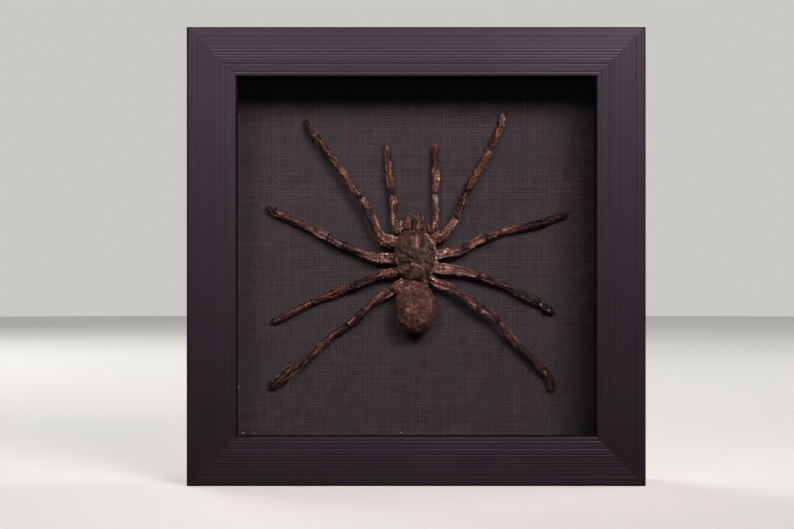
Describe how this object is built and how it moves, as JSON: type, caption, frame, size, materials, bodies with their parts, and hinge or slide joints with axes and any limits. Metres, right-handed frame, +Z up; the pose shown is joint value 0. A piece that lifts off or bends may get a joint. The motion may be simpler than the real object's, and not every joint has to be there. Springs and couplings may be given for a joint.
{
  "type": "framed tarantula specimen",
  "caption": "Small square shadow box frame with ribbed mitred rails and glass, holding a dried tarantula spread flat on a linen-covered board. Stands on its bottom edge.",
  "frame": {"origin": "on the ground under the middle of the whole object, the hanger's nail heads at the back included", "axes": "+Z up, the glass faces -Y, +X to the right seen from the front"},
  "size_m": [0.191, 0.0402, 0.191],
  "materials": {
    "moulding": "extruded polystyrene moulding, finely ribbed, dark plum grey, satin",
    "glass": "clear low-reflection picture glass",
    "spacer": "black foam board, matt",
    "linen": "charcoal plum linen, plain weave with slubs",
    "mount_board": "grey-white mount card, hidden under the linen",
    "hardboard": "brown hardboard, smooth side out",
    "steel": "zinc-plated steel strip",
    "hanger": "brass-plated steel",
    "carapace": "dried cuticle with sparse flattened hair, olive brown with tan rim",
    "abdomen": "dried skin under short velvety hair, mottled brown",
    "legs": "dried cuticle, pinkish tan with dark cracks near the body, chocolate brown at the claws, fine hair"
  },
  "bodies": {
    "root": {"frame_rail_bottom": "moulding", "tab_bottom_1": "steel", "tab_bottom_2": "steel", "frame_rail_left": "moulding", "tab_left_1": "steel", "tab_left_2": "steel", "frame_rail_top": "moulding", "tab_top_1": "steel", "tab_top_2": "steel", "frame_rail_right": "moulding", "tab_right_1": "steel", "tab_right_2": "steel", "spacer_top": "spacer", "spacer_bottom": "spacer", "spacer_left": "spacer", "spacer_right": "spacer", "glass": "glass", "linen": "linen", "mount_board": "mount_board", "back_panel": "hardboard", "hanger": "hanger", "hanger_nail_left": "hanger", "hanger_nail_right": "hanger", "carapace": "carapace", "abdomen": "abdomen", "chelicera_left": "carapace", "chelicera_right": "carapace", "pedipalp_left": "legs", "leg_left_1": "legs", "leg_left_2": "legs", "leg_left_3": "legs", "leg_left_4": "legs", "pedipalp_right": "legs", "leg_right_1": "legs", "leg_right_2": "legs", "leg_right_3": "legs", "leg_right_4": "legs"}
  },
  "joints": []
}
